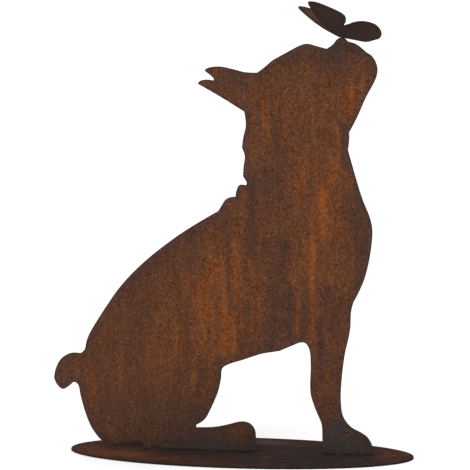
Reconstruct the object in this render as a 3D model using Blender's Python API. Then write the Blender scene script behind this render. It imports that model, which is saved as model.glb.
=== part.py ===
# A sitting bulldog cut from sheet steel, with a butterfly on its nose.
# The dog is one flat sheet that stands on edge along the middle of an oval
# base plate. The butterfly is a small sheet, folded along its body, that is
# fixed to the tip of the nose by its fold.
# Metres, +Z up. The origin is the middle of the base plate's underside, +X is
# the way the dog faces, and the dog's sheet lies in the plane Y = 0.

import math

import bmesh
import bpy
import numpy as np
from mathutils import Matrix, Vector

# Base plate
plate_length = 0.340
plate_width = 0.140
plate_thickness = 0.002
plate_sides = 160

# Dog. Its outline is drawn on paper in units of about a millimetre, with zero
# under the middle of the plate, and brought to this height from the soles of
# the paws to the tip of the nose
dog_height = 0.4036
dog_sheet = 0.002
paper_height = 404.0
paper_step = 3.0

# The tip of the nose is cut flat for the butterfly, for this length
seat_length = 0.006
paper_seat_middle = 99.2

# Butterfly. Its pattern is drawn on paper in the same way and brought to this
# reach from the fold to the wing's tip
wing_reach = 0.0429
wing_sheet = 0.0015
paper_reach = 42.9
paper_wing_step = 1.6

# How it is folded and how it stands on the nose
wing_lift = math.radians(35)
bend_radius = 0.0026
bend_strips = 4
head_up = math.radians(10.5)
turned_to_viewer = math.radians(14.2)

# Pieces that touch are drawn this far apart
touch_gap = 0.0003

# Edges sharper than this stay crisp
crisp_edge = math.radians(30)


def clear_scene():
    for found in list(bpy.data.objects):
        bpy.data.objects.remove(found, do_unlink=True)


def rusted_steel(name, colour, roughness, metallic):
    material = bpy.data.materials.new(name)
    material.use_nodes = True
    shader = material.node_tree.nodes["Principled BSDF"]
    shader.inputs["Base Color"].default_value = (*colour, 1.0)
    shader.inputs["Roughness"].default_value = roughness
    shader.inputs["Metallic"].default_value = metallic
    return material


def smooth_curve(points, step):
    # A curve through the points. Its direction at each one is weighed from the
    # two spans beside it, and two points alone make a straight line
    places = np.array(points, float)
    if len(places) == 2:
        return places
    spans = np.sqrt(np.hypot(*np.diff(places, axis=0).T))
    speeds = np.diff(places, axis=0) / spans[:, None]
    slopes = np.zeros_like(places)
    both = spans[:-1, None] + spans[1:, None]
    slopes[1:-1] = (speeds[:-1] * spans[1:, None] + speeds[1:] * spans[:-1, None]) / both
    slopes[0] = 1.5 * speeds[0] - 0.5 * slopes[1]
    slopes[-1] = 1.5 * speeds[-1] - 0.5 * slopes[-2]
    curve = []
    for i, span in enumerate(spans):
        count = max(1, math.ceil(span * span / step))
        for t in np.arange(count) / count:
            curve.append(
                (2 * t**3 - 3 * t**2 + 1) * places[i]
                + (t**3 - 2 * t**2 + t) * span * slopes[i]
                + (3 * t**2 - 2 * t**3) * places[i + 1]
                + (t**3 - t**2) * span * slopes[i + 1]
            )
    curve.append(places[-1])
    return np.array(curve)


def closed_outline(stretches, step):
    # Each stretch goes on from the last point of the one before, with a corner
    # where they meet, and the last one ends where the first begins
    outline = []
    last = stretches[-1][-1]
    for stretch in stretches:
        outline.extend(smooth_curve([last, *stretch], step)[:-1])
        last = stretch[-1]
    return np.array(outline)


# The dog's outline on paper, as (forward, up), once round from the ear's upper
# tip. A stretch with one point is a straight cut


def ear_and_crown():
    return [
        [(-33, 375.8), (-21, 377.6), (-9, 375.4), (4, 372.1), (16.5, 371.4)],
        [(25, 377.8), (31, 382.9), (45, 390.6), (58, 397.3), (65, 399), (73, 397), (83.7, 394)],
    ]


def nose_and_muzzle():
    half_seat = seat_length / 2 * paper_height / dog_height
    fall = half_seat * math.tan(head_up)
    return [
        [(90.1, 398.3), (93, 402.2), (paper_seat_middle - half_seat, paper_height + fall)],
        [(paper_seat_middle + half_seat, paper_height - fall)],
        [(104.2, 401.2), (110.6, 399.1), (116.2, 395.7), (122.5, 390.2), (126.5, 387.8), (130.9, 381.7),
         (132.9, 373.5), (131.2, 365.2), (121.9, 347.3), (114.6, 330.6), (110, 321.3), (105.9, 313.6)],
    ]


def throat_and_chest():
    return [
        [(106.1, 308), (104.9, 297)],
        [(112.4, 270.8), (119, 250), (126.5, 231.2), (128.8, 220), (127.5, 200), (121.8, 173.1),
         (115.1, 157.2), (111, 149.4)],
    ]


def foreleg():
    return [
        [(108.7, 140), (108, 124), (106, 112.6), (102.8, 98), (99.6, 70), (99.1, 54), (101.3, 37.6),
         (108.9, 27.2), (118.8, 21.9), (124.9, 17.7), (129.6, 10.2), (131.4, 0)],
        [(81.3, 0)],
        [(81.1, 22)],
        [(80.2, 29.9), (74.6, 42.8), (69.7, 58), (69, 67), (69.5, 86), (68.2, 102), (64.4, 108.3),
         (60, 109.1), (50.2, 105.2), (38.8, 100.2)],
    ]


def belly_and_thigh():
    return [
        [(31, 98.9), (22.2, 97.3), (0.3, 89.9), (-11.7, 85.9), (-18, 81.6), (-19.2, 72), (-22.1, 58.8),
         (-30.6, 38.9), (-35.4, 30.7), (-44.1, 24.7)],
        [(-44.1, 22.4)],
    ]


def hind_foot():
    return [
        [(-25, 23.4), (-12, 26.2), (-3, 28.8), (3, 29.5), (9.9, 27.6), (14.5, 21.7), (15.5, 14)],
        [(15.5, 0)],
        [(-80, 0)],
        [(-83, 2.8), (-87.5, 2.9), (-90, 0)],
        [(-96.8, 0)],
    ]


def rump_and_tail():
    return [
        [(-98.6, 5), (-101.5, 6.5), (-107, 6), (-115, 4.6), (-122.5, 2.8), (-130, 4.4), (-140.8, 7.4)],
        [(-149.4, 18.4), (-155.6, 32.4), (-161, 51), (-163.6, 62.2), (-167.4, 64.8), (-172.7, 60.8),
         (-179, 57.3), (-184.5, 60.9), (-188.2, 68.5)],
        [(-186.2, 78.4), (-180.7, 88.1), (-171.5, 93.7), (-161, 93.9)],
    ]


def back_and_neck_folds():
    return [
        [(-156.7, 97.6), (-154.8, 105.7), (-151.7, 113.5), (-137, 137.4), (-119, 162.5), (-96, 185.9),
         (-64, 211), (-40, 226.4), (-21.7, 237)],
        [(-17.9, 243.2), (-14.7, 248.1), (-10.7, 250.3), (-4.8, 251.1)],
        [(-3.6, 257.5), (-1, 262.5), (5.4, 262.2)],
        [(6.5, 264), (2.6, 271)],
        [(3.4, 282), (4.5, 290.2), (1.7, 298.6)],
        [(2.6, 307), (5.4, 320.6), (4.5, 330), (3.8, 333.7)],
    ]


def ear_underside():
    return [
        [(-19.2, 347.9), (-41.9, 360.8)],
        [(-39.6, 363.7), (-33, 364.9), (-26, 364)],
        [(-27, 366.9), (-31.4, 370.6), (-35.2, 373.4)],
    ]


def dog_outline():
    stretches = ear_and_crown() + nose_and_muzzle() + throat_and_chest() + foreleg()
    stretches += belly_and_thigh() + hind_foot() + rump_and_tail()
    stretches += back_and_neck_folds() + ear_underside()
    return closed_outline(stretches, paper_step) * dog_height / paper_height


def wing_outline():
    # Half of the butterfly's pattern on paper, as (forward along the fold, out
    # from the fold): leading edge, forewing, hindwing, and back to the fold
    stretches = [
        [(8, 3.2), (13.3, 6.6), (19.5, 11.2), (28.9, 20.4), (38.1, 31.8), (42.2, 37.6)],
        [(43.4, 41.4), (37.4, 42.9), (26.2, 40.6), (7.5, 33.2), (3.8, 28), (3.1, 23.8), (3.8, 18.1)],
        [(1.1, 17.4)],
        [(-0.6, 20.8), (-6.1, 26.2), (-11.8, 28.8), (-18.2, 29.3), (-25.8, 27.2), (-31.9, 20.9),
         (-34.4, 14.8), (-33.3, 9.1), (-29.3, 5.6), (-26.4, 2.7)],
        [(-21, 0)],
        [(3, 0)],
    ]
    return closed_outline(stretches, paper_wing_step) * wing_reach / paper_reach


def thickened(mesh, thickness):
    # Turns flat faces in the XY plane into a sheet, half above and half below
    raised = bmesh.ops.extrude_face_region(mesh, geom=mesh.faces[:])
    upper = [part for part in raised["geom"] if isinstance(part, bmesh.types.BMVert)]
    bmesh.ops.translate(mesh, verts=mesh.verts, vec=(0, 0, -thickness / 2))
    bmesh.ops.translate(mesh, verts=upper, vec=(0, 0, thickness))


def finished(name, mesh, material):
    bmesh.ops.recalc_face_normals(mesh, faces=mesh.faces)
    bmesh.ops.triangulate(mesh, faces=mesh.faces)
    data = bpy.data.meshes.new(name)
    mesh.to_mesh(data)
    mesh.free()
    data.shade_smooth()
    data.set_sharp_from_angle(angle=crisp_edge)
    data.materials.append(material)
    piece = bpy.data.objects.new(name, data)
    bpy.context.scene.collection.objects.link(piece)
    return piece


def flat_sheet(name, outline, thickness, material):
    mesh = bmesh.new()
    mesh.faces.new([mesh.verts.new((x, y, 0)) for x, y in outline])
    thickened(mesh, thickness)
    return finished(name, mesh, material)


def make_base_plate():
    turns = np.arange(plate_sides) / plate_sides * 2 * math.pi
    oval = np.column_stack([plate_length / 2 * np.cos(turns), plate_width / 2 * np.sin(turns)])
    steel = rusted_steel("plate steel", (0.104, 0.050, 0.033), 0.62, 0.45)
    plate = flat_sheet("base_plate", oval, plate_thickness, steel)
    plate.location = (0, 0, plate_thickness / 2)


def make_dog():
    steel = rusted_steel("dog steel", (0.127, 0.054, 0.030), 0.68, 0.40)
    dog = flat_sheet("bulldog_silhouette", dog_outline(), dog_sheet, steel)
    dog.rotation_euler = (math.pi / 2, 0, 0)
    dog.location = (0, 0, plate_thickness + touch_gap)


def fold_point(place):
    # Takes a point of the flat butterfly to its place on the folded one: a
    # strip along the fold is bent round, and the wing goes on straight from it
    forward, out, height = place
    strip = bend_radius * wing_lift
    angle = min(abs(out), strip) / bend_radius
    beyond = max(abs(out) - strip, 0)
    reach = bend_radius * math.sin(angle) + beyond * math.cos(angle) - height * math.sin(angle)
    rise = bend_radius * (1 - math.cos(angle)) + beyond * math.sin(angle) + height * math.cos(angle)
    return Vector((forward, math.copysign(reach, out), rise))


def cut_bend_lines(mesh):
    for line in range(1, bend_strips + 1):
        out = bend_radius * wing_lift * line / bend_strips
        for side in (out, -out):
            whole = mesh.verts[:] + mesh.edges[:] + mesh.faces[:]
            bmesh.ops.bisect_plane(mesh, geom=whole, plane_co=(0, side, 0), plane_no=(0, 1, 0))


def make_butterfly():
    half = wing_outline()
    mesh = bmesh.new()
    mesh.faces.new([mesh.verts.new((x, y, 0)) for x, y in half])
    mesh.faces.new([mesh.verts.new((x, -y, 0)) for x, y in half[::-1]])
    bmesh.ops.remove_doubles(mesh, verts=mesh.verts, dist=1e-6)
    cut_bend_lines(mesh)
    bmesh.ops.triangulate(mesh, faces=mesh.faces)
    thickened(mesh, wing_sheet)
    for corner in mesh.verts:
        corner.co = fold_point(corner.co)
    steel = rusted_steel("butterfly steel", (0.070, 0.040, 0.030), 0.60, 0.45)
    stand_on_nose(finished("butterfly", mesh, steel))


def stand_on_nose(butterfly):
    # The underside of the fold rests on the flat of the nose. The head points
    # back over the dog, a little up and a little to the viewer's side
    heading = Matrix.Rotation(math.pi + turned_to_viewer, 4, "Z")
    tilt = Matrix.Rotation(-head_up, 4, "Y")
    butterfly.rotation_euler = (heading @ tilt).to_euler()
    forward = paper_seat_middle * dog_height / paper_height
    seat = Vector((forward, 0, plate_thickness + touch_gap + dog_height))
    away = Vector((math.sin(head_up), 0, math.cos(head_up)))
    butterfly.location = seat + away * (touch_gap + wing_sheet / 2)


clear_scene()
make_base_plate()
make_dog()
make_butterfly()
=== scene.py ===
# The looks of a sitting bulldog cut from rusted sheet steel, with a butterfly on its nose.
# Everything is in metres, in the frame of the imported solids. The dog's sheet stands in the
# plane y = 0 and looks along +x, and its front is the side that faces -y.
import math

import bmesh
import bpy
import numpy as np
from mathutils import Euler, Matrix, Vector, geometry


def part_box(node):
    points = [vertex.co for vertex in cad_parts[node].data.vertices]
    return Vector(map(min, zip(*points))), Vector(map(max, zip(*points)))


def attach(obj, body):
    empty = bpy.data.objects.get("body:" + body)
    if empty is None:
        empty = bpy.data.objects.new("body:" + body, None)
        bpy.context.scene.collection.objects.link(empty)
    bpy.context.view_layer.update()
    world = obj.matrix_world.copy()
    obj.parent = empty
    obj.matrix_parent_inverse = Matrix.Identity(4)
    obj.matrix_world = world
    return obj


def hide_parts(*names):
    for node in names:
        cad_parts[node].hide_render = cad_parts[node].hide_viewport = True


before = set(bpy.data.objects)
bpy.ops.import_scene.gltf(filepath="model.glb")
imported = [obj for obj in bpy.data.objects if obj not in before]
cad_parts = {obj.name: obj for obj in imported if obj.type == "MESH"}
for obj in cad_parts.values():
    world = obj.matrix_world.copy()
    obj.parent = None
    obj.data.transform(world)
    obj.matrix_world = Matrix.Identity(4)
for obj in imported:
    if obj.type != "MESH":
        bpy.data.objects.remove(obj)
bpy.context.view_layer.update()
print("solids loaded")

mm = 0.001


def linear(colour):
    parts = [int(colour[i:i + 2], 16) / 255 for i in (1, 3, 5)]
    return [c / 12.92 if c <= 0.04045 else ((c + 0.055) / 1.055) ** 2.4 for c in parts] + [1.0]


def addNode(tree, kind, inputs=None, **settings):
    # Adds a node, with a value or a link for each input by its name or number
    node = tree.nodes.new(kind)
    for name, value in settings.items():
        setattr(node, name, value)
    for name, value in (inputs or {}).items():
        if isinstance(value, bpy.types.NodeSocket):
            tree.links.new(value, node.inputs[name])
        else:
            node.inputs[name].default_value = value
    return node


def addPiece(name, mesh):
    piece = bpy.data.objects.new(name, mesh)
    bpy.context.scene.collection.objects.link(piece)
    return piece


# Camera and studio

camera = {
    "aim": (-0.00525, 0.0, 0.2156),
    "azimuth": 8.54,  # degrees from square on to the sheet, towards the chest
    "elevation": 4.14,
    "distance": 1.6,
    "lens": 125.5,
    "sensorWidth": 36,
    "farthest": 200,
}


def setCamera():
    view = bpy.data.cameras.new("camera")
    view.sensor_width = camera["sensorWidth"]
    view.lens = camera["lens"]
    view.clip_end = camera["farthest"]
    around, up = math.radians(camera["azimuth"]), math.radians(camera["elevation"])
    away = Vector((math.sin(around) * math.cos(up), -math.cos(around) * math.cos(up), math.sin(up)))
    eye = bpy.data.objects.new("camera", view)
    eye.location = Vector(camera["aim"]) + away * camera["distance"]
    eye.rotation_euler = Euler((math.pi / 2 - up, 0, around))
    bpy.context.scene.collection.objects.link(eye)
    bpy.context.scene.camera = eye


studio = {
    "floor": "#fdfcfb",
    "floorSize": 60.0,
    "floorDrop": 0.1 * mm,
    "floorRoughness": 0.9,
    "sky": "#ffffff",
    "skyStrength": 1.15,
    "keyPower": 9.0,
    "keySize": 1.2,
    "keyPlace": (-0.9, -1.6, 1.5),
}


def setStudio():
    size = studio["floorSize"] / 2
    mesh = bpy.data.meshes.new("floor")
    corners = [(-size, -size, 0), (size, -size, 0), (size, size, 0), (-size, size, 0)]
    mesh.from_pydata(corners, [], [(0, 1, 2, 3)])
    floor = addPiece("floor", mesh)
    floor.location.z = -studio["floorDrop"]
    material = bpy.data.materials.new("Matt white paper")
    material.use_nodes = True
    shader = material.node_tree.nodes["Principled BSDF"]
    shader.inputs["Base Color"].default_value = linear(studio["floor"])
    shader.inputs["Roughness"].default_value = studio["floorRoughness"]
    shader.inputs["Specular IOR Level"].default_value = 0.0
    mesh.materials.append(material)

    world = bpy.data.worlds.new("studio")
    world.use_nodes = True
    sky = world.node_tree.nodes["Background"]
    sky.inputs["Color"].default_value = linear(studio["sky"])
    sky.inputs["Strength"].default_value = studio["skyStrength"]
    bpy.context.scene.world = world

    light = bpy.data.lights.new("key", "AREA")
    light.energy = studio["keyPower"]
    light.size = studio["keySize"]
    lamp = bpy.data.objects.new("key", light)
    lamp.location = studio["keyPlace"]
    away = Vector(studio["keyPlace"]) - Vector(camera["aim"])
    lamp.rotation_euler = away.to_track_quat("Z", "Y").to_euler()
    bpy.context.scene.collection.objects.link(lamp)

    # Colours come out as they are, without a film look
    bpy.context.scene.view_settings.view_transform = "Standard"


# The sheets: outline from the solid, a fine flat mesh inside it, rounded edges

sheets = {
    "mergeDistance": 0.01 * mm,  # of the solid's corners
    "facingShare": 0.7,  # a face whose normal leans further from the way asked for is left out
    "leastMitre": 0.5,  # keeps an inset corner from running far out
    "blockSize": 100,  # points measured at a time
    "ringDepths": (0.9, 1.9, 3.1),  # of the rings of points along the rim, in mm
    "ringShare": 0.95,  # a ring's point is kept where it is this much of its depth from the rim
    "gridMargin": 0.45,  # between the last ring and the grid, as a share of the grid
    "leastGap": 0.45,  # between two points, in mm
    "meetDistance": 1e-5,  # points closer than this are one
    "roundingTurns": (30, 60, 90),  # the steps round each rounded edge, in degrees
    "sharpEdge": 40,  # an edge that turns by more degrees than this is shaded sharp
    "runDrift": 0.8,  # how far a run wanders to the side, in mm
    "runDriftLength": 11.0,  # and over what height, in mm
    "runEnd": 4.0,  # how softly a run ends, in mm
    "runEndShare": 0.12,  # and as a share of its length
}


def outlineOf(node, facing):
    # The corners once round the flat side that looks along facing
    mesh = bmesh.new()
    mesh.from_mesh(node.data)
    bmesh.ops.remove_doubles(mesh, verts=mesh.verts, dist=sheets["mergeDistance"])
    mesh.normal_update()
    for face in mesh.faces:
        face.tag = face.normal.dot(facing) > sheets["facingShare"]
    following = {}
    for face in mesh.faces:
        for loop in face.loops:
            if face.tag and not all(other.tag for other in loop.edge.link_faces):
                following[loop.vert.index] = loop.link_loop_next.vert.index
    corner = min(following)
    ring = []
    while corner not in ring[:1]:
        ring.append(corner)
        corner = following[corner]
    mesh.verts.ensure_lookup_table()
    places = np.array([mesh.verts[i].co for i in ring])
    mesh.free()
    return places


def withSteps(outline, step):
    # No span of the rim stays longer than the step
    rim = []
    for start, end in zip(outline, np.roll(outline, -1, axis=0)):
        count = max(1, math.ceil(np.hypot(*(end - start)) / step))
        rim.extend(start + (end - start) * (np.arange(count) / count)[:, None])
    return np.array(rim)


def inset(rim, depth):
    # Moves each point of the rim inwards, with mitred corners
    before = rim - np.roll(rim, 1, axis=0)
    after = np.roll(rim, -1, axis=0) - rim
    sides = [np.column_stack([-way[:, 1], way[:, 0]]) for way in (before, after)]
    sides = [side / np.linalg.norm(side, axis=1)[:, None] for side in sides]
    middle = sides[0] + sides[1]
    middle /= np.linalg.norm(middle, axis=1)[:, None]
    stretch = 1 / np.maximum(np.sum(middle * sides[1], axis=1), sheets["leastMitre"])
    return rim + middle * (depth * stretch)[:, None]


def reachFrom(points, rim):
    # How far each point is from the nearest place on the rim, below 0 outside it
    span = np.roll(rim, -1, axis=0) - rim
    reaches = []
    for block in np.array_split(points, max(1, len(points) // sheets["blockSize"])):
        away = block[:, None, :] - rim
        along = np.clip(np.sum(away * span, axis=2) / np.sum(span * span, axis=1), 0, 1)
        reach = np.linalg.norm(away - along[:, :, None] * span, axis=2).min(axis=1)
        below = away[:, :, 1] >= 0
        crossed = below != (away[:, :, 1] - span[:, 1] >= 0)
        slope = np.where(crossed, span[:, 1], 1)
        right = away[:, :, 0] < span[:, 0] * away[:, :, 1] / slope
        inside = np.sum(crossed & right, axis=1) % 2 == 1
        reaches.append(np.where(inside, reach, -reach))
    return np.concatenate(reaches)


def flatPoints(rim, grid):
    # Rings of points close along the rim, and an even triangular grid within
    found = []
    for depth in sheets["ringDepths"]:
        ring = inset(rim, depth)
        found.append(ring[reachFrom(ring, rim) > sheets["ringShare"] * depth])
    low, high = rim.min(axis=0), rim.max(axis=0)
    rows = np.arange(low[1], high[1], grid * math.sqrt(0.75))
    columns = np.arange(low[0], high[0], grid)
    net = [np.column_stack([columns + grid / 2 * (i % 2), np.full(len(columns), row)])
           for i, row in enumerate(rows)]
    net = np.concatenate(net)
    margin = sheets["ringDepths"][-1] + grid * sheets["gridMargin"]
    found.append(net[reachFrom(net, rim) > margin])
    found = np.concatenate(found)
    cells = np.round(found / sheets["leastGap"]).astype(int)
    kept = np.unique(cells, axis=0, return_index=True)[1]
    return found[np.sort(kept)]


def sheetMesh(name, outline, thickness, settings, place):
    # A closed sheet. The outline, in mm, goes round to the left as seen from its upper side, and
    # place puts (along, across, height above the middle of the sheet) where it stands
    radius = settings["rounding"]
    half = thickness / 2
    rim = withSteps(outline, settings["grid"])
    top = inset(rim, radius)
    inner = flatPoints(rim, settings["grid"])
    flat = [Vector(point) for point in np.concatenate([top, inner])]
    _, _, faces, sources, _, _ = geometry.delaunay_2d_cdt(
        flat, [], [list(range(len(rim)))], 1, sheets["meetDistance"])
    order = [source[0] for source in sources]
    number = {old: new for new, old in enumerate(order)}
    flat = np.array([flat[old] for old in order])
    edge = [number[i] for i in range(len(rim))]
    rows = [edge]
    corners = [np.column_stack([flat, np.full(len(flat), half)])]
    count = len(flat)
    turns = [math.radians(angle) for angle in sheets["roundingTurns"]]
    levels = [(radius * (1 - math.sin(t)), half - radius * (1 - math.cos(t))) for t in turns]
    levels += [(0.0, 0.0)] + [(depth, -height) for depth, height in levels[::-1]]
    for depth, height in levels:
        corners.append(np.column_stack([inset(rim, depth), np.full(len(rim), height)]))
        rows.append(range(count, count + len(rim)))
        count += len(rim)
    corners.append(np.column_stack([flat, np.full(len(flat), -half)]))
    rows.append([count + i for i in edge])
    corners = np.concatenate(corners)
    sides = [tuple(face) for face in faces]
    sides += [tuple(count + i for i in face[::-1]) for face in faces]
    for upper, lower in zip(rows, rows[1:]):
        for i in range(len(rim)):
            j = (i + 1) % len(rim)
            sides.append((upper[i], lower[i], lower[j], upper[j]))
    mesh = bpy.data.meshes.new(name)
    mesh.from_pydata([place(corner * mm) for corner in corners], [], sides)
    mesh.shade_smooth()
    mesh.set_sharp_from_angle(angle=math.radians(sheets["sharpEdge"]))
    reach = np.zeros(len(corners))
    depths = np.maximum(reachFrom(flat, rim), 0)
    depths[edge] = 0
    reach[:len(flat)] = depths
    reach[-len(flat):] = depths
    wall = np.ones(len(corners))
    wall[:len(flat)] = 0
    wall[-len(flat):] = 0
    paint(mesh, "edgeReach", reach)
    paint(mesh, "cutWall", wall)
    print(name, "has", len(mesh.vertices), "corners")
    return mesh, corners, len(flat)


def paint(mesh, name, values):
    layer = mesh.attributes.new(name, "FLOAT", "POINT")
    layer.data.foreach_set("value", np.asarray(values, np.float32))


def softRuns(places, runs):
    # Soft upright streaks: full in the middle, gone at the sides, wandering a little
    total = np.zeros(len(places))
    for along, high, low, width, strength in runs:
        drift = sheets["runDrift"] * np.sin(places[:, 1] / sheets["runDriftLength"] + along)
        side = (places[:, 0] - along - drift) / (width * 0.5)
        beyond = np.maximum(places[:, 1] - high, low - places[:, 1])
        softness = sheets["runEnd"] + sheets["runEndShare"] * (high - low)
        end = np.clip(beyond / softness, -1, 1)
        total += strength * np.exp(-side ** 2) * (0.5 - 0.5 * np.sin(end * math.pi / 2))
    return total


def softSpots(places, spots):
    total = np.zeros(len(places))
    for along, across, length, width, strength in spots:
        away = ((places[:, 0] - along) / length * 2) ** 2 + ((places[:, 1] - across) / width * 2) ** 2
        total += strength * np.exp(-away)
    return total


# Material of the sheets

def rustedSheet(name, look):
    # Hot-rolled mild steel, laser cut and left to rust: mid brown bloom with orange grains and
    # runs, violet grey where the mill scale still holds, and darker along the cut edges
    material = bpy.data.materials.new(name)
    material.use_nodes = True
    tree = material.node_tree
    shader = tree.nodes["Principled BSDF"]
    place = addNode(tree, "ShaderNodeTexCoord").outputs["Object"]
    sources = {}
    for title, (size, detail, shift) in look["patterns"].items():
        spread = addNode(tree, "ShaderNodeMapping", {
            "Vector": place, "Scale": [1 / (s * mm) for s in size], "Location": [shift] * 3})
        noise = addNode(tree, "ShaderNodeTexNoise", {
            "Vector": spread.outputs[0], "Scale": 1.0, "Detail": detail,
            "Roughness": look["noiseRoughness"]})
        sources[title] = addNode(tree, "ShaderNodeMath", {0: noise.outputs[0], 1: 0.5},
                                 operation="SUBTRACT").outputs[0]
    # Single pale grains that stand out from the others
    sources["spark"] = addNode(tree, "ShaderNodeMapRange", {
        "Value": sources["grain"], "From Min": look["sparkFrom"],
        "From Max": look["sparkTo"]}).outputs[0]
    for title in ("edgeReach", "cutWall", "warmRustAndLight", "dullScaleAndShade", "heatTintAndSheen", "sleekScale"):
        sources[title] = addNode(tree, "ShaderNodeAttribute", attribute_name=title).outputs["Fac"]
    sources["rimShade"] = addNode(tree, "ShaderNodeMapRange", {
        "Value": sources["edgeReach"], "From Min": 0.0, "From Max": look["rimReach"],
        "To Min": 1.0, "To Max": 0.0}, interpolation_type="SMOOTHSTEP").outputs[0]

    # How orange the rust is and how bright: patterns and painted runs added up, the runs holding some painted
    # shade and painted light too
    sums = {}
    for title in ("warmth", "brightness", "cover", "dust", "relief"):
        total, weights = look[title]
        for source, weight in weights.items():
            total = addNode(tree, "ShaderNodeMath", {0: sources[source], 1: weight, 2: total},
                            operation="MULTIPLY_ADD").outputs[0]
        sums[title] = sources[title] = total
    ramp = addNode(tree, "ShaderNodeValToRGB", {"Fac": sums["warmth"]})
    stops = ramp.color_ramp.elements
    while len(stops) < len(look["colours"]):
        stops.new(0.5)
    for stop, (position, colour) in zip(stops, look["colours"]):
        stop.position = position
        stop.color = linear(colour)
    level = addNode(tree, "ShaderNodeClamp", {
        "Value": sums["brightness"], "Min": look["leastBrightness"], "Max": look["mostBrightness"]})
    shaded = addNode(tree, "ShaderNodeMix", {0: 1.0, 6: ramp.outputs[0], 7: level.outputs[0]},
                     data_type="RGBA", blend_type="MULTIPLY")

    # Blue grey tint, strongest where a weld heated the steel, with a trace of it along the cut. On the plate
    # it is mostly a painted sheen of pale grey
    tint = addNode(tree, "ShaderNodeMath", {
        0: sources["rimShade"], 1: look["rimTint"], 2: sources["heatTintAndSheen"]}, operation="MULTIPLY_ADD")
    tinted = addNode(tree, "ShaderNodeMix", {
        0: tint.outputs[0], 6: shaded.outputs[2], 7: linear(look["tintColour"])}, data_type="RGBA")

    # Fine loose grains of one pale buff, thick on the orange bloom and thin on the dull scale
    cover = addNode(tree, "ShaderNodeClamp", {
        "Value": sums["cover"], "Min": look["leastCover"], "Max": look["mostCover"]})
    amount = addNode(tree, "ShaderNodeMath", {0: sums["dust"], 1: cover.outputs[0]}, operation="MULTIPLY")
    grains = addNode(tree, "ShaderNodeVectorMath", {
        0: linear(look["dustColour"])[:3], "Scale": amount.outputs[0]}, operation="SCALE")
    dusted = addNode(tree, "ShaderNodeVectorMath", {
        0: tinted.outputs[2], 1: grains.outputs[0]}, operation="ADD")

    # A dark line along the cut, where the heat left a tight skin of oxide
    line = addNode(tree, "ShaderNodeMapRange", {
        "Value": sources["edgeReach"], "From Min": look["lineCore"], "From Max": look["lineReach"],
        "To Min": look["lineShare"], "To Max": 0.0}, interpolation_type="SMOOTHSTEP")
    lined = addNode(tree, "ShaderNodeMix", {
        0: line.outputs[0], 6: dusted.outputs[0], 7: linear(look["lineColour"])}, data_type="RGBA")
    tree.links.new(lined.outputs[2], shader.inputs["Base Color"])

    # Rust is rough, scale a little less so
    rough = addNode(tree, "ShaderNodeMapRange", {
        "Value": sums["warmth"], "From Min": look["scaleWarmth"], "From Max": look["rustWarmth"],
        "To Min": look["roughScale"], "To Max": look["roughRust"]})
    tree.links.new(rough.outputs[0], shader.inputs["Roughness"])
    shader.inputs["Metallic"].default_value = look["metallic"]
    shader.inputs["Specular IOR Level"].default_value = look["specular"]

    # Grains and pits, and the fine grooves that the cut leaves across the edge
    groove = addNode(tree, "ShaderNodeMath", {
        0: sources["groove"], 1: sources["cutWall"]}, operation="MULTIPLY")
    relief = addNode(tree, "ShaderNodeMath", {
        0: groove.outputs[0], 1: look["grooveRelief"], 2: sums["relief"]}, operation="MULTIPLY_ADD")
    bump = addNode(tree, "ShaderNodeBump", {
        "Height": relief.outputs[0], "Strength": look["reliefStrength"],
        "Distance": look["reliefDepth"] * mm})
    tree.links.new(bump.outputs[0], shader.inputs["Normal"])
    return material


# Bulldog

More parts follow.
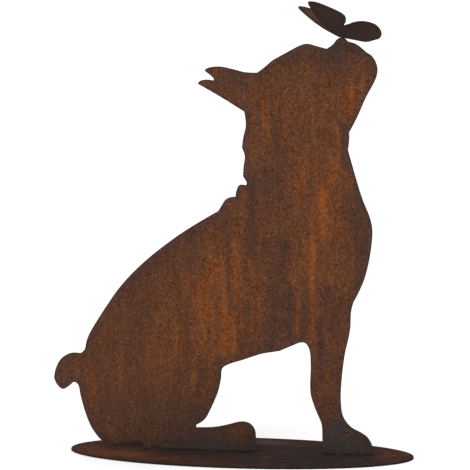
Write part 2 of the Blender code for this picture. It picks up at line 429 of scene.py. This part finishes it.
bulldog = {
    "rounding": 0.30,  # of the cut edges, in mm
    "grid": 2.0,  # of the flat mesh, in mm
    # Places are in mm on the front of the sheet, above the plate.
    # (along, up, length, height, strength) where the dark scale shows through the rust
    "dullSpots": (
        (62, 386, 44, 14, 0.35), (-106, 172, 26, 22, 0.35), (-84, 187, 28, 24, 0.45),
        (-66, 204, 26, 18, 0.3), (-46, 218, 26, 18, 0.3), (-27, 229, 22, 18, 0.25),
        (-42, 38, 52, 28, 0.35), (22, 110, 50, 24, 0.1), (-99, 138, 24, 56, 0.3), (83, 126, 20, 40, 0.46),
        (28, 370, 24, 30, 0.22), (106, 390, 28, 18, 0.5), (42, 284, 14, 36, 0.25),
        (101, 284, 12, 24, 0.25), (106, 10, 30, 16, 0.25), (44, 185, 12, 30, 0.2),
        (-52, 66, 26, 100, 0.08), (32, 204, 34, 20, 0.15), (40, 248, 24, 20, 0.15),
        (44, 150, 14, 20, 0.15), (86, 374, 20, 16, 0.2), (58, 136, 14, 24, 0.15),
        (-12, 122, 14, 20, 0.15), (93, 366, 16, 24, 0.1), (28, 250, 20, 30, 0.15),
        (-172, 80, 20, 20, 0.1),
    ),
    # and where the orange bloom lies thick
    "warmSpots": (
        (68, 276, 44, 60, 0.33), (60, 340, 60, 50, 0.25), (-55, 158, 50, 50, 0.22),
        (84, 186, 24, 50, 0.15), (33, 180, 14, 30, 0.25), (-104, 66, 50, 34, 0.15),
        (60, 106, 80, 20, 0.2), (100, 104, 14, 60, 0.22), (58, 182, 12, 30, 0.25), (98, 222, 14, 30, 0.1),
        (-82, 88, 26, 34, 0.28), (4, 246, 14, 30, 0.2), (14, 292, 16, 30, 0.2), (30, 136, 10, 24, 0.2),
        (44, 218, 10, 24, 0.2), (114, 344, 16, 22, 0.15), (-12, 24, 30, 16, 0.15), (84, 174, 18, 26, 0.2),
        (72, 94, 16, 30, 0.2),
    ),
    # (along, top, foot, width, strength) where water has drawn the rust down
    "warmRuns": (
        (82, 262, 206, 10, 0.74), (71, 238, 108, 7, 0.62), (66, 208, 184, 14, 0.35),
        (-28, 197, 160, 9, 0.3), (-17, 190, 96, 10, 0.68), (-39, 168, 92, 13, 0.55),
        (-5, 216, 150, 8, 0.5), (-8, 135, 94, 8, 0.8), (23, 346, 296, 7, 0.5), (94, 322, 262, 7, 0.45),
        (104, 276, 256, 6, 0.55), (107, 360, 334, 8, 0.5), (54, 262, 234, 6, 0.4),
        (57, 162, 118, 5, 0.45), (98, 234, 218, 11, 0.12), (-78, 138, 102, 7, 0.35),
        (-64, 132, 92, 7, 0.4), (-148, 74, 44, 6, 0.4), (-131, 22, 12, 4, 0.6), (-46, 128, 62, 5, 0.3),
        (22, 176, 138, 10, 0.25), (52, 176, 164, 11, 0.4), (86, 108, 58, 5, 0.2),
        (-24, 376, 368, 8, 0.75), (118, 382, 356, 14, 0.15), (-34, 363, 357, 7, 0.55),
        (-172, 82, 68, 14, 0.1), (88, 300, 262, 6, 0.45), (12, 148, 116, 4, 0.4), (62, 300, 250, 8, 0.25),
        (1, 206, 84, 12, 0.3), (-27, 152, 110, 8, 0.45), (-31, 100, 42, 14, 0.22),
        (118, 362, 338, 8, 0.45),
    ),
    "dullRuns": (
        (12, 268, 196, 11, 0.45), (85, 110, 68, 14, 0.12), (34, 190, 104, 15, 0.6),
        (49, 168, 112, 6, 0.55), (44, 212, 192, 12, 0.3), (25, 214, 194, 5, 0.45),
        (6, 150, 128, 11, 0.35), (3, 118, 98, 8, 0.5), (-11, 196, 160, 4, 0.5), (-46, 220, 178, 9, 0.25),
        (-66, 182, 158, 6, 0.3), (-54, 152, 124, 5, 0.4), (-37, 98, 64, 6, 0.45),
        (28, 280, 262, 18, 0.35), (86, 166, 146, 12, 0.45), (78, 120, 82, 5, 0.45),
        (108, 242, 226, 13, 0.3), (57, 346, 332, 6, 0.3), (56, 316, 304, 10, 0.2),
        (84, 400, 378, 14, 0.35), (92, 402, 380, 9, 0.35), (101, 318, 296, 5, 0.5),
        (35, 320, 288, 6, 0.25), (63, 152, 116, 5, 0.35), (96, 160, 60, 4, 0.25),
        (120, 250, 170, 12, 0.35), (-100, 92, 40, 30, 0.1), (-6, 370, 356, 18, 0.35),
    ),
    # (along, up, length, height, strength) of the blue grey tints, strongest at the welds
    "heatTintsAndSheen": (
        (96, 23, 22, 34, 0.9), (112, 8, 34, 16, 0.5), (-27, 3, 28, 12, 0.6), (102, 306, 8, 26, 0.12),
        (97, 385, 14, 20, 0.35), (-84, 30, 120, 50, 0.28), (84, 90, 16, 60, 0.12),
        (-14, 366, 50, 18, 0.15), (-110, 94, 24, 30, 0.1), (-66, 80, 24, 60, 0.1), (-42, 98, 16, 30, 0.1),
        (-130, 72, 20, 40, 0.1), (86, 24, 14, 24, 0.15), (76, 60, 20, 30, 0.08), (-170, 76, 36, 36, 0.1),
    ),
    # and where the grains lie thin, or thick where the strength is below 0
    "sleekSpots": (
        (-95, 50, 120, 90, 0.28), (0, 12, 70, 30, 0.22), (70, 250, 60, 60, 0.08),
        (-135, 110, 40, 60, 0.08), (50, 340, 110, 90, -0.08),
    ),
    "footHeight": 34.0,  # below this the sheet is darker and greyer, less so at the haunch's back
    "footDull": 0.65,
    "footTint": 0.35,
    "haunchBack": -95.0,
    "haunchFade": 45.0,  # ahead of the back, until the darkening is full
    "haunchLeast": 0.05,
    "mostTint": 0.9,
    # The back has runs of its own, every other one warm and the rest dull
    "backRuns": {
        "seed": 5,
        "count": 26,
        "along": (-150, 120),
        "top": (60, 380),
        "length": (20, 90),
        "width": (5, 12),
        "strength": (0.2, 0.55),
    },
    "look": {
        # ((grain size along x, y and z in mm), detail, shift) of each pattern. Real grains are finer
        # than a millimetre, and these are as coarse as they need to be to show
        "patterns": {
            "grain": ((1.3, 1.3, 1.4), 1.0, 3.0),
            "fleck": ((2.2, 2.2, 2.6), 1.0, 17.0),
            "mottle": ((5.0, 5.0, 8.0), 2.0, 11.0),
            "thread": ((1.9, 1.9, 16.0), 1.0, 41.0),
            "streak": ((6.5, 6.5, 90.0), 2.0, 23.0),
            "patch": ((40.0, 40.0, 60.0), 1.0, 37.0),
            "groove": ((0.5, 30.0, 0.5), 0.0, 5.0),
        },
        "noiseRoughness": 0.6,
        "sparkFrom": 0.1,  # a grain stands out from here
        "sparkTo": 0.26,
        # (start, {pattern or painted run: weight}) of each sum
        "warmth": (0.49, {"mottle": 0.13, "thread": 0.12, "streak": 0.5, "patch": 0.16, "spark": 0.15,
                          "warmRustAndLight": 0.42, "dullScaleAndShade": -0.36, "rimShade": -0.1}),
        "brightness": (0.97, {"fleck": 0.25, "mottle": 0.14, "thread": 0.26, "streak": 0.18,
                             "warmRustAndLight": 0.22, "dullScaleAndShade": -0.26, "rimShade": -0.05}),
        "leastBrightness": 0.35,
        "mostBrightness": 1.9,
        # How thick the loose grains lie
        "cover": (-0.028, {"warmth": 1.889, "sleekScale": -1.0}),
        "leastCover": 0.35,
        "mostCover": 1.2,
        "dust": (-0.003, {"grain": 0.08, "fleck": 0.066, "spark": 0.042}),
        "dustColour": "#ffcfab",
        "relief": (0.0, {"grain": 0.6, "fleck": 0.5, "mottle": 0.3}),
        "rimReach": 13.0,  # how far the shade along the cut reaches in, in mm
        "rimTint": 0.16,
        "colours": (
            (0.0, "#3a2e2d"), (0.25, "#483128"), (0.5, "#543423"), (0.75, "#65391e"), (1.0, "#784219")),
        "tintColour": "#3a3432",
        "lineCore": 0.2,  # the dark line is full to here, and gone at its reach, in mm
        "lineReach": 1.6,
        "lineShare": 0.6,
        "lineColour": "#2a2725",
        "roughScale": 0.75,
        "roughRust": 0.95,
        "scaleWarmth": 0.1,  # bare scale at this warmth and below, rust at the next and above
        "rustWarmth": 0.6,
        "metallic": 0.0,
        "specular": 0.06,
        "reliefDepth": 0.12,  # in mm
        "reliefStrength": 0.8,
        "grooveRelief": 1.2,
    },
}


def scatteredRuns(settings):
    chance = np.random.default_rng(settings["seed"])
    runs = []
    for _ in range(settings["count"]):
        along = chance.uniform(*settings["along"])
        top = chance.uniform(*settings["top"])
        foot = top - chance.uniform(*settings["length"])
        width = chance.uniform(*settings["width"])
        runs.append((along, top, foot, width, chance.uniform(*settings["strength"])))
    return runs


def makeDog():
    outline = outlineOf(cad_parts["bulldog_silhouette"], Vector((0, -1, 0)))
    low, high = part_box("bulldog_silhouette")
    middle = (low[1] + high[1]) / 2
    thickness = (high[1] - low[1]) / mm
    mesh, corners, flat = sheetMesh(
        "bulldog_sheet", outline[:, [0, 2]] / mm, thickness, bulldog,
        lambda p: (p[0], middle - p[2], p[1]))
    height = corners[:, :2] - (0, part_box("base_plate")[1][2] / mm)
    front = np.arange(len(corners)) < len(corners) - flat
    spread = scatteredRuns(bulldog["backRuns"])
    warm = np.where(front, softRuns(height, bulldog["warmRuns"]), softRuns(height, spread[::2]))
    dull = np.where(front, softRuns(height, bulldog["dullRuns"]), softRuns(height, spread[1::2]))
    warm += softSpots(height, bulldog["warmSpots"])
    dull += softSpots(height, bulldog["dullSpots"])
    foot = np.clip(1 - height[:, 1] / bulldog["footHeight"], 0, 1)
    ahead = (height[:, 0] - bulldog["haunchBack"]) / bulldog["haunchFade"]
    foot *= np.clip(ahead, bulldog["haunchLeast"], 1)
    dull += bulldog["footDull"] * foot
    tint = softSpots(height, bulldog["heatTintsAndSheen"]) + bulldog["footTint"] * foot
    paint(mesh, "warmRustAndLight", warm)
    paint(mesh, "dullScaleAndShade", dull)
    paint(mesh, "heatTintAndSheen", np.clip(tint, 0, bulldog["mostTint"]))
    paint(mesh, "sleekScale", softSpots(height, bulldog["sleekSpots"]))
    piece = addPiece("bulldog_sheet", mesh)
    mesh.materials.append(rustedSheet("Rusted steel sheet, laser cut", bulldog["look"]))
    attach(piece, "root")
    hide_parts("bulldog_silhouette")


# Base plate

plate = {
    "rounding": 0.30,
    "grid": 2.2,
    # (along, across, length, width, strength), in mm on the plate's top
    "warmSpots": (
        (-145, -14, 56, 44, 0.72), (-106, -24, 46, 28, 1.0), (-100, -46, 60, 24, 0.5),
        (-130, -34, 36, 20, 0.3), (-135, 26, 50, 24, 0.3), (-98, 42, 50, 24, 0.3), (150, -2, 34, 50, 0.8),
        (150, 20, 24, 14, 0.3), (143, 4, 12, 26, 0.45), (161, 6, 14, 18, 0.35), (-60, -42, 60, 24, 0.4),
        (-20, -58, 60, 10, 0.2),
    ),
    # Darker places. The bands along the dog's foot at (-40, 2), (106, 2) and (-10, -12) are painted contact
    # shade with heat scale, and the spot at (-112, 20) is painted shade under the haunch
    "dullSpots": (
        (-112, 20, 44, 26, 0.6), (-40, 2, 120, 12, 0.5), (106, 2, 56, 12, 0.6), (-10, -12, 200, 26, 0.1),
        (40, 10, 190, 60, 0.5), (60, -34, 170, 50, 0.5), (100, -46, 60, 22, 0.3), (34, 61, 40, 10, 0.5),
        (-128, -6, 26, 14, 0.3), (150, -2, 34, 50, 0.68), (159, 4, 22, 24, 0.4),
    ),
    # The first two, on the far side, are a painted sheen of pale grey; the third is a faint pale smudge
    "heatTintsAndSheen": ((24, 47, 40, 22, 0.5), (0, 60, 44, 12, 0.4), (28, -27, 12, 12, 0.25)),
    "look": {
        **bulldog["look"],
        "patterns": {
            **bulldog["look"]["patterns"],
            "grain": ((1.1, 1.1, 1.1), 1.0, 3.0),
            "mottle": ((6.0, 5.0, 5.0), 2.0, 11.0),
            "thread": ((6.0, 2.5, 2.5), 1.0, 41.0),
            "streak": ((26.0, 14.0, 20.0), 2.0, 23.0),
            "patch": ((60.0, 38.0, 40.0), 1.0, 31.0),
            "groove": ((0.5, 0.5, 30.0), 0.0, 5.0),
        },
        "warmth": (0.3, {"mottle": 0.22, "thread": 0.15, "streak": 0.3, "patch": 0.16,
                         "warmRustAndLight": 0.6, "dullScaleAndShade": -0.25}),
        "brightness": (0.91, {"fleck": 0.4, "mottle": 0.5, "streak": 0.3, "warmRustAndLight": 0.08, "dullScaleAndShade": -0.2,
                              "cutWall": -0.45}),
        "dust": (-0.002, {"grain": 0.18, "fleck": 0.02, "spark": 0.03}),
        "colours": (
            (0.0, "#322c2a"), (0.25, "#3a2d29"), (0.5, "#483029"), (0.75, "#563729"), (1.0, "#613e2b")),
        # Pale grey, mostly the colour of the painted sheen
        "tintColour": "#4f4a4a",
        "rimTint": 0.0,
        "specular": 0.0,
    },
}


def makePlate():
    outline = outlineOf(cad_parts["base_plate"], Vector((0, 0, 1)))
    low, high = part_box("base_plate")
    middle = (low[2] + high[2]) / 2
    thickness = (high[2] - low[2]) / mm
    mesh, corners, _ = sheetMesh(
        "oval_plate", outline[:, :2] / mm, thickness, plate, lambda p: (p[0], p[1], middle + p[2]))
    paint(mesh, "warmRustAndLight", softSpots(corners[:, :2], plate["warmSpots"]))
    # Dark scale, with the painted shade along and under the dog
    paint(mesh, "dullScaleAndShade", softSpots(corners[:, :2], plate["dullSpots"]))
    paint(mesh, "heatTintAndSheen", softSpots(corners[:, :2], plate["heatTintsAndSheen"]))
    paint(mesh, "sleekScale", np.zeros(len(corners)))
    piece = addPiece("oval_plate", mesh)
    mesh.materials.append(rustedSheet("Rusted steel plate, laser cut", plate["look"]))
    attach(piece, "root")
    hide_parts("base_plate")


# Butterfly

butterfly = {
    "rounding": 0.22,
    "grid": 1.2,
    # How the solid is folded and turned, to lay its outline flat and fold the fine sheet again
    "lift": math.radians(35),
    "bendRadius": 2.6 * mm,
    "sheet": 1.5 * mm,
    "headUp": math.radians(10.5),
    "turn": math.radians(14.2),
    "foldMiddle": (99.293 * mm, 0.0, 406.932 * mm),
    "upperRustAndLight": 0.6,  # the upper side holds more orange rust, and is painted lighter as the side that faces the light
    "look": {
        **bulldog["look"],
        "patterns": {
            **bulldog["look"]["patterns"],
            "grain": ((1.0, 1.0, 1.0), 1.0, 3.0),
            "mottle": ((5.0, 5.0, 5.0), 2.0, 11.0),
            "streak": ((14.0, 10.0, 10.0), 2.0, 23.0),
            "patch": ((24.0, 24.0, 24.0), 1.0, 33.0),
            "groove": ((0.5, 0.5, 30.0), 0.0, 5.0),
        },
        "warmth": (0.35, {"mottle": 0.1, "streak": 0.3, "patch": 0.4, "warmRustAndLight": 0.35, "rimShade": -0.1}),
        "brightness": (0.93, {"fleck": 0.05, "mottle": 0.12, "warmRustAndLight": 0.15, "rimShade": -0.08}),
        "dust": (0.0, {"grain": 0.06, "fleck": 0.02}),
        "dustColour": "#ffe4d6",
        "colours": (
            (0.0, "#2b2423"), (0.25, "#332826"), (0.5, "#3e2d27"), (0.75, "#4e362d"), (1.0, "#5b3d32")),
        "rimReach": 5.0,
        "rimTint": 0.0,
        "lineShare": 0.35,
        "specular": 0.02,
    },
}


def makeButterfly():
    lift, bend, half = butterfly["lift"], butterfly["bendRadius"], butterfly["sheet"] / 2
    turned = Matrix.Rotation(math.pi + butterfly["turn"], 3, "Z")
    turned = turned @ Matrix.Rotation(-butterfly["headUp"], 3, "Y")
    middle = Vector(butterfly["foldMiddle"])
    outline = outlineOf(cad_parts["butterfly"], turned @ Vector((0, 0, 1)))
    pattern = []
    for corner in outline:
        x, y, z = turned.transposed() @ (Vector(corner) - middle)
        out, up = abs(y) - bend * math.sin(lift), z - bend * (1 - math.cos(lift))
        beyond = out * math.cos(lift) + up * math.sin(lift)
        angle = lift if beyond > 0 else math.atan2(abs(y), bend - z)
        pattern.append((x, math.copysign(bend * angle + max(beyond, 0), y)))

    def folded(place):
        along, across, height = place
        angle = min(abs(across) / bend, lift)
        beyond = max(abs(across) - bend * lift, 0)
        reach = bend * math.sin(angle) + beyond * math.cos(angle) - height * math.sin(angle)
        rise = bend * (1 - math.cos(angle)) + beyond * math.sin(angle) + height * math.cos(angle)
        return middle + turned @ Vector((along, math.copysign(reach, across), rise))

    mesh, corners, flat = sheetMesh(
        "butterfly_sheet", np.array(pattern) / mm, butterfly["sheet"] / mm, butterfly, folded)
    upper = np.arange(len(corners)) < flat
    # The upper side is painted warmer and lighter: more rust, and painted light on the side that faces the
    # light
    paint(mesh, "warmRustAndLight", np.where(upper, butterfly["upperRustAndLight"], 0.0))
    for title in ("dullScaleAndShade", "heatTintAndSheen", "sleekScale"):
        paint(mesh, title, np.zeros(len(corners)))
    piece = addPiece("butterfly_sheet", mesh)
    mesh.materials.append(rustedSheet("Rusted steel sheet, cut and folded", butterfly["look"]))
    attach(piece, "root")
    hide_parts("butterfly")


# Weld tacks

welds = {
    # (along, width, reach from the sheet, height), in mm, of each tack on the front and the back
    "front": ((98.5, 11.0, 2.2, 3.8), (111.5, 4.0, 1.6, 2.6), (-27.0, 9.0, 1.6, 1.8)),
    "back": ((103.0, 10.0, 2.8, 4.0), (116.0, 9.0, 2.6, 3.6), (-28.0, 10.0, 2.8, 3.6)),
    "underFold": (1.9, 1.3, 1.5),  # half width, reach and height of the two under the fold, in mm
    "foldSink": 0.2 * mm,  # how far below the nose's top they are seated
    "ripples": 4,
    "ripplePole": (0, -0.8, 0.6),  # the way that the middle of the rings faces
    "rippleDepth": 0.035,  # as a share of the tack's size
    # (place, way) of the planes that cut the ball off, behind it and under it
    "cuts": (((0, 0.2, 0), (0, 1, 0)), ((0, 0, -0.15), (0, 0, -1))),
    "rounds": (36, 24),  # faces round the ball and from pole to pole
    "sharpEdge": 50,
    "sizeSpread": 0.08,  # a tack may be smaller by up to this share
    "seed": 7,
    "grain": 0.9 * mm,
    "grainDetail": 3.0,
    "colours": ((0.35, "#272120"), (0.7, "#3a302c")),
    "roughness": (0.7, 0.9),
    "reliefStrength": 0.5,
    "reliefDepth": 0.08 * mm,
    "specular": 0.06,
}


def weldSteel(name):
    # Weld metal: dark grey brown with a dull shine, as a bead that has cooled and rusted a little
    material = bpy.data.materials.new(name)
    material.use_nodes = True
    tree = material.node_tree
    shader = tree.nodes["Principled BSDF"]
    place = addNode(tree, "ShaderNodeTexCoord").outputs["Object"]
    spread = addNode(tree, "ShaderNodeMapping", {"Vector": place, "Scale": [1 / welds["grain"]] * 3})
    grain = addNode(tree, "ShaderNodeTexNoise", {
        "Vector": spread.outputs[0], "Scale": 1.0, "Detail": welds["grainDetail"]})
    ramp = addNode(tree, "ShaderNodeValToRGB", {"Fac": grain.outputs[0]})
    for stop, (position, colour) in zip(ramp.color_ramp.elements, welds["colours"]):
        stop.position = position
        stop.color = linear(colour)
    tree.links.new(ramp.outputs[0], shader.inputs["Base Color"])
    smooth, rough = welds["roughness"]
    roughness = addNode(tree, "ShaderNodeMapRange", {
        "Value": grain.outputs[0], "To Min": smooth, "To Max": rough})
    tree.links.new(roughness.outputs[0], shader.inputs["Roughness"])
    bump = addNode(tree, "ShaderNodeBump", {
        "Height": grain.outputs[0], "Strength": welds["reliefStrength"], "Distance": welds["reliefDepth"]})
    tree.links.new(bump.outputs[0], shader.inputs["Normal"])
    shader.inputs["Specular IOR Level"].default_value = welds["specular"]
    return material


def tackShape():
    # A blob of weld metal that sits in the corner of two sheets, with rings round its middle
    mesh = bmesh.new()
    around, up = welds["rounds"]
    bmesh.ops.create_uvsphere(mesh, u_segments=around, v_segments=up, radius=1)
    pole = Vector(welds["ripplePole"])
    for corner in mesh.verts:
        off = math.acos(max(-1, min(1, corner.co.dot(pole))))
        ring = math.cos(2 * off * welds["ripples"])
        corner.co *= 1 + welds["rippleDepth"] * ring
    for point, way in welds["cuts"]:
        whole = mesh.verts[:] + mesh.edges[:] + mesh.faces[:]
        cut = bmesh.ops.bisect_plane(
            mesh, geom=whole, plane_co=point, plane_no=way, clear_outer=True)
        rim = [part for part in cut["geom_cut"] if isinstance(part, bmesh.types.BMEdge)]
        bmesh.ops.edgeloop_fill(mesh, edges=rim)
    bmesh.ops.recalc_face_normals(mesh, faces=mesh.faces)
    shape = bpy.data.meshes.new("tack")
    mesh.to_mesh(shape)
    mesh.free()
    shape.shade_smooth()
    shape.set_sharp_from_angle(angle=math.radians(welds["sharpEdge"]))
    return addPiece("tack", shape)


def tackTree():
    # Puts the tack on every point, at the point's own size and turn
    tree = bpy.data.node_groups.new("weldTacks", "GeometryNodeTree")
    for name, kind in (("Seam Points", "NodeSocketGeometry"), ("Tack", "NodeSocketObject"),
                       ("Size Spread", "NodeSocketFloat"), ("Seed", "NodeSocketInt"),
                       ("Weld Metal", "NodeSocketMaterial")):
        tree.interface.new_socket(name=name, in_out="INPUT", socket_type=kind)
    tree.interface.new_socket(name="Welds", in_out="OUTPUT", socket_type="NodeSocketGeometry")
    entry = addNode(tree, "NodeGroupInput").outputs
    shape = addNode(tree, "GeometryNodeObjectInfo", {"Object": entry["Tack"]})
    size = addNode(tree, "GeometryNodeInputNamedAttribute", {"Name": "tackSize"}, data_type="FLOAT_VECTOR")
    turn = addNode(tree, "GeometryNodeInputNamedAttribute", {"Name": "tackTurn"}, data_type="FLOAT_VECTOR")
    least = addNode(tree, "ShaderNodeMath", {0: 1.0, 1: entry["Size Spread"]}, operation="SUBTRACT")
    chance = addNode(tree, "FunctionNodeRandomValue", {2: least.outputs[0], 3: 1.0, "Seed": entry["Seed"]},
                     data_type="FLOAT")
    sized = addNode(tree, "ShaderNodeVectorMath", {0: size.outputs[0], "Scale": chance.outputs[1]},
                    operation="SCALE")
    placed = addNode(tree, "GeometryNodeInstanceOnPoints", {
        "Points": entry["Seam Points"], "Instance": shape.outputs["Geometry"],
        "Rotation": turn.outputs[0], "Scale": sized.outputs[0]})
    real = addNode(tree, "GeometryNodeRealizeInstances", {0: placed.outputs[0]})
    dressed = addNode(tree, "GeometryNodeSetMaterial", {
        "Geometry": real.outputs[0], "Material": entry["Weld Metal"]})
    addNode(tree, "NodeGroupOutput", {0: dressed.outputs[0]})
    return tree


def makeWelds():
    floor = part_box("base_plate")[1][2]
    low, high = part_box("bulldog_silhouette")
    places, sizes, turns = [], [], []
    for side, face in (("front", low[1]), ("back", high[1])):
        for along, width, reach, height in welds[side]:
            places.append((along * mm, face, floor))
            sizes.append((width / 2 * mm, reach * mm, height * mm))
            turns.append((0, 0, 0 if side == "front" else math.pi))
    wide, reach, height = welds["underFold"]
    for face in (low[1], high[1]):
        places.append((butterfly["foldMiddle"][0], face, high[2] - welds["foldSink"]))
        sizes.append((wide * mm, reach * mm, height * mm))
        turns.append((math.pi, 0, 0 if face > 0 else math.pi))
    points = bpy.data.meshes.new("seamPoints")
    points.from_pydata(places, [], [])
    for name, values in (("tackSize", sizes), ("tackTurn", turns)):
        layer = points.attributes.new(name, "FLOAT_VECTOR", "POINT")
        layer.data.foreach_set("vector", np.ravel(values).astype(np.float32))
    seam = addPiece("seamPoints", points)
    tack = tackShape()
    tree = tackTree()
    modifier = seam.modifiers.new("tacks", "NODES")
    modifier.node_group = tree
    values = {"Tack": tack, "Size Spread": welds["sizeSpread"], "Seed": welds["seed"],
              "Weld Metal": weldSteel("Weld metal, mild steel")}
    for item in tree.interface.items_tree:
        if item.in_out == "INPUT" and item.name in values:
            modifier[item.identifier] = values[item.name]
    evaluated = seam.evaluated_get(bpy.context.evaluated_depsgraph_get())
    mesh = bpy.data.meshes.new_from_object(evaluated)
    mesh.name = "weld_tacks"
    for spare in (seam, tack):
        bpy.data.objects.remove(spare, do_unlink=True)
    piece = addPiece("weld_tacks", mesh)
    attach(piece, "root")
    print("weld_tacks has", len(mesh.vertices), "corners")


setCamera()
setStudio()
print("camera and lights set")
makeDog()
makePlate()
makeButterfly()
makeWelds()
print("pieces made")
